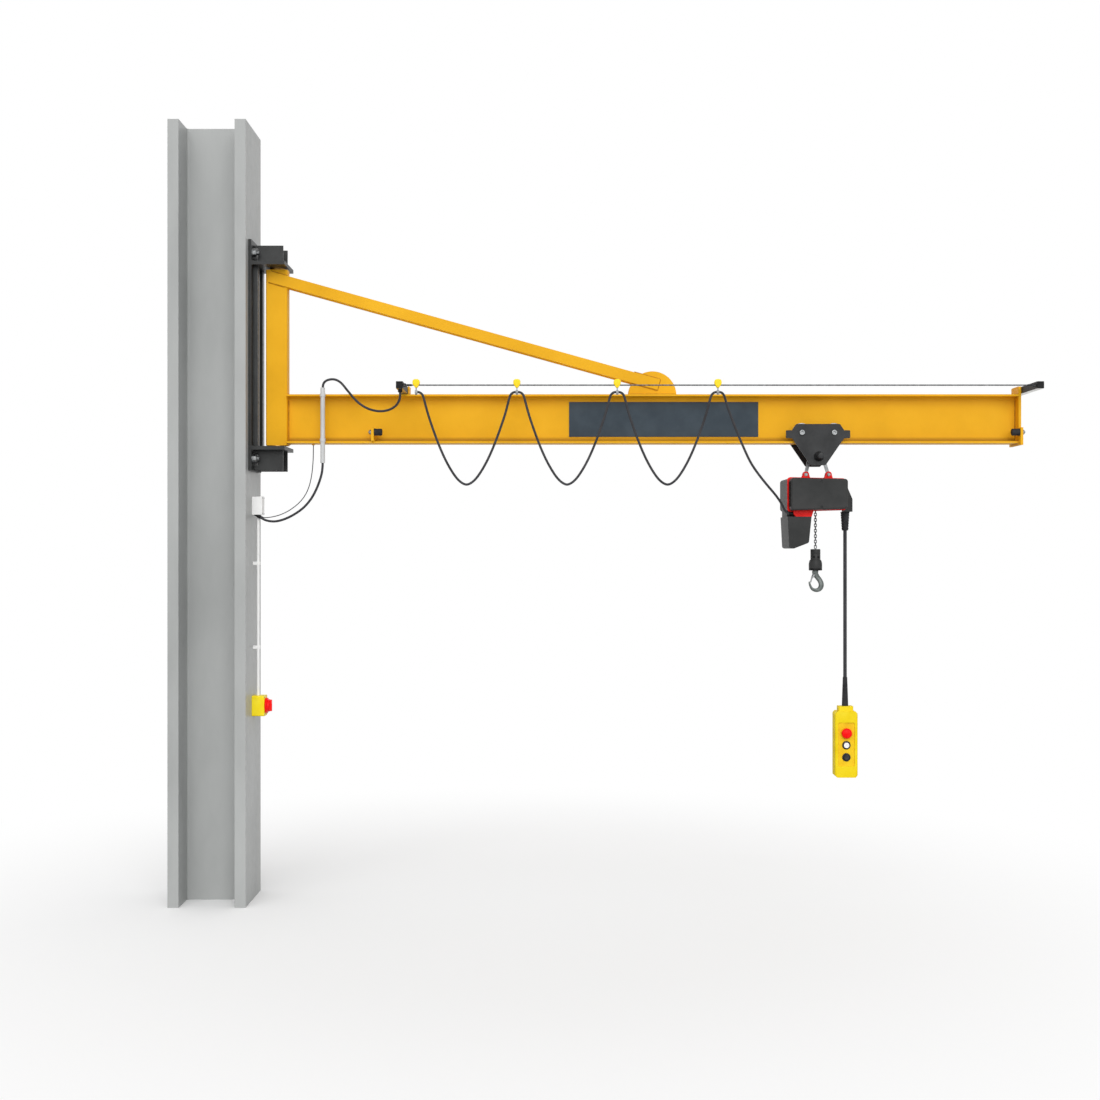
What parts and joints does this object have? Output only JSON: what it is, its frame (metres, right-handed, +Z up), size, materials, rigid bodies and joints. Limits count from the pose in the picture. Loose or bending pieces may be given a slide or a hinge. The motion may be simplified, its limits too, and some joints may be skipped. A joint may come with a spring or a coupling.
{
  "type": "column-mounted slewing jib crane with chain hoist",
  "caption": "Slewing jib crane on a steel column: an I-beam jib with a tie, a trolley with an electric chain hoist and hook, a festoon cable and a hanging pendant.",
  "frame": {"origin": "centre of the column's foot, on the floor", "axes": "+X along the jib at rest, +Y away from the side that carries the festoon, +Z up"},
  "size_m": [4.7235, 0.565, 4.29],
  "materials": {
    "column_paint": "light grey paint, satin",
    "console_paint": "dark grey paint, satin",
    "zinc": "zinc-plated steel",
    "bronze": "bearing bronze",
    "box_white": "moulded white plastic",
    "isolator_yellow": "moulded yellow plastic",
    "isolator_red": "moulded red plastic",
    "cable_jacket": "matt cable jacket",
    "crane_yellow": "yellow paint, satin",
    "panel_slate": "bare slate panel",
    "buffer_rubber": "moulded rubber",
    "galvanised": "galvanised steel",
    "cap_black": "moulded black plastic",
    "wire_steel": "stranded steel wire",
    "tube_grey": "light grey plastic tube",
    "glider_yellow": "moulded yellow plastic",
    "trolley_paint": "black paint, satin",
    "wheel_steel": "machined cast steel",
    "hoist_red": "red paint, satin",
    "hoist_dark": "dark grey cover",
    "chain_steel": "hardened steel chain",
    "hook_steel": "forged steel",
    "pendant_yellow": "moulded yellow plastic",
    "button_black": "moulded black plastic",
    "button_white": "moulded white plastic",
    "button_red": "moulded red plastic"
  },
  "bodies": {
    "column": {"column": "column_paint", "console": "console_paint", "console_bolts": "zinc", "bearing_bushes": "bronze", "junction_box": "box_white", "cable_glands": "cap_black", "service_pipe": "box_white", "isolator_box": "isolator_yellow", "supply_cable": "cable_jacket", "earth_wire": "cable_jacket"},
    "isolator_knob": {"isolator_knob": "isolator_red"},
    "jib": {"post": "crane_yellow", "jib_beam": "crane_yellow", "tie_bars": "crane_yellow", "tie_gussets": "crane_yellow", "end_plate": "crane_yellow", "end_stop": "crane_yellow", "end_buffers": "buffer_rubber", "sign_panels": "panel_slate", "cable_bars": "galvanised", "bar_bracket": "crane_yellow", "bar_end_caps": "cap_black", "festoon_wire": "wire_steel", "conduit_tube": "tube_grey", "tube_clamps": "cap_black", "feed_cable": "cable_jacket", "feed_gland": "cap_black", "glider_1": "glider_yellow", "festoon_loop_1": "cable_jacket"},
    "glider_2": {"glider_2": "glider_yellow", "festoon_loop_2": "cable_jacket"},
    "glider_3": {"glider_3": "glider_yellow", "festoon_loop_3": "cable_jacket"},
    "glider_4": {"glider_4": "glider_yellow"},
    "trolley": {"trolley_plates": "trolley_paint", "trolley_pins": "zinc", "cross_bolt": "trolley_paint", "suspension_yoke": "hook_steel", "hoist_lugs": "hoist_red", "hoist_frame": "hoist_red", "hoist_front_cover": "hoist_dark", "hoist_rear_cover": "hoist_dark", "chain_container": "hoist_dark", "festoon_gland": "cap_black", "festoon_last_span": "cable_jacket", "load_chain": "chain_steel", "pendant_inlet": "hoist_dark", "pendant_boots": "cap_black", "pendant_cable": "cable_jacket", "pendant_body": "pendant_yellow", "button_collars": "button_black"},
    "left_wheels": {"left_wheels": "wheel_steel"},
    "right_wheels": {"right_wheels": "wheel_steel"},
    "hook_block": {"hook_block": "trolley_paint"},
    "load_hook": {"load_hook": "hook_steel"},
    "hook_latch": {"hook_latch": "trolley_paint"},
    "stop_button": {"stop_button": "button_red"},
    "up_button": {"up_button": "button_white"},
    "down_button": {"down_button": "button_black"}
  },
  "joints": [
    {"name": "slew", "type": "hinge", "parent": "column", "child": "jib", "pos_m": [0.349, 0, 2.5], "axis": [0, 0, 1], "range_deg": [-90, 90], "deforming": ["supply_cable", "earth_wire"]},
    {"name": "trolley_travel", "type": "slide", "parent": "jib", "child": "trolley", "axis": [1, 0, 0], "range_m": [-2.225, 0.886], "deforming": ["festoon_last_span"]},
    {"name": "glider_2_slide", "type": "slide", "parent": "jib", "child": "glider_2", "axis": [1, 0, 0], "range_m": [-0.495, 0.2], "deforming": ["festoon_loop_1"]},
    {"name": "glider_3_slide", "type": "slide", "parent": "glider_2", "child": "glider_3", "axis": [1, 0, 0], "range_m": [-0.495, 0.2], "deforming": ["festoon_loop_2"]},
    {"name": "glider_4_slide", "type": "slide", "parent": "glider_3", "child": "glider_4", "axis": [1, 0, 0], "range_m": [-0.495, 0.2], "deforming": ["festoon_loop_3"]},
    {"name": "left_wheels_roll", "type": "hinge", "parent": "trolley", "child": "left_wheels", "pos_m": [3.259, 0, 2.595], "axis": [0, 1, 0], "range_deg": [-2745, 1095]},
    {"name": "right_wheels_roll", "type": "hinge", "parent": "trolley", "child": "right_wheels", "pos_m": [3.437, 0, 2.595], "axis": [0, 1, 0], "range_deg": [-2745, 1095]},
    {"name": "hook_lift", "type": "slide", "parent": "trolley", "child": "hook_block", "axis": [0, 0, 1], "range_m": [-1.65, 0.165], "deforming": ["load_chain"]},
    {"name": "hook_swivel", "type": "hinge", "parent": "hook_block", "child": "load_hook", "pos_m": [3.348, 0, 1.84], "axis": [0, 0, 1], "continuous": true},
    {"name": "latch_pivot", "type": "hinge", "parent": "load_hook", "child": "hook_latch", "pos_m": [3.338, 0, 1.808], "axis": [0, -1, 0], "range_deg": [0, 40], "stiffness_Nm_per_rad": 0.05, "springref_deg": -17.19},
    {"name": "isolator_turn", "type": "hinge", "parent": "column", "child": "isolator_knob", "pos_m": [0.2815, 0, 1.0795], "axis": [1, 0, 0], "range_deg": [0, 90]},
    {"name": "stop_button_push", "type": "slide", "parent": "trolley", "child": "stop_button", "axis": [0, 1, 0], "range_m": [0, 0.004], "stiffness_N_per_m": 400},
    {"name": "up_button_push", "type": "slide", "parent": "trolley", "child": "up_button", "axis": [0, 1, 0], "range_m": [0, 0.004], "stiffness_N_per_m": 400},
    {"name": "down_button_push", "type": "slide", "parent": "trolley", "child": "down_button", "axis": [0, 1, 0], "range_m": [0, 0.004], "stiffness_N_per_m": 400}
  ],
  "couplings": [
    {"joint": "glider_2_slide", "follows": "trolley_travel", "ratio": 0.22},
    {"joint": "glider_3_slide", "follows": "trolley_travel", "ratio": 0.22},
    {"joint": "glider_4_slide", "follows": "trolley_travel", "ratio": 0.22},
    {"joint": "left_wheels_roll", "follows": "trolley_travel", "rad_per_m": 21.505},
    {"joint": "right_wheels_roll", "follows": "trolley_travel", "rad_per_m": 21.505}
  ]
}
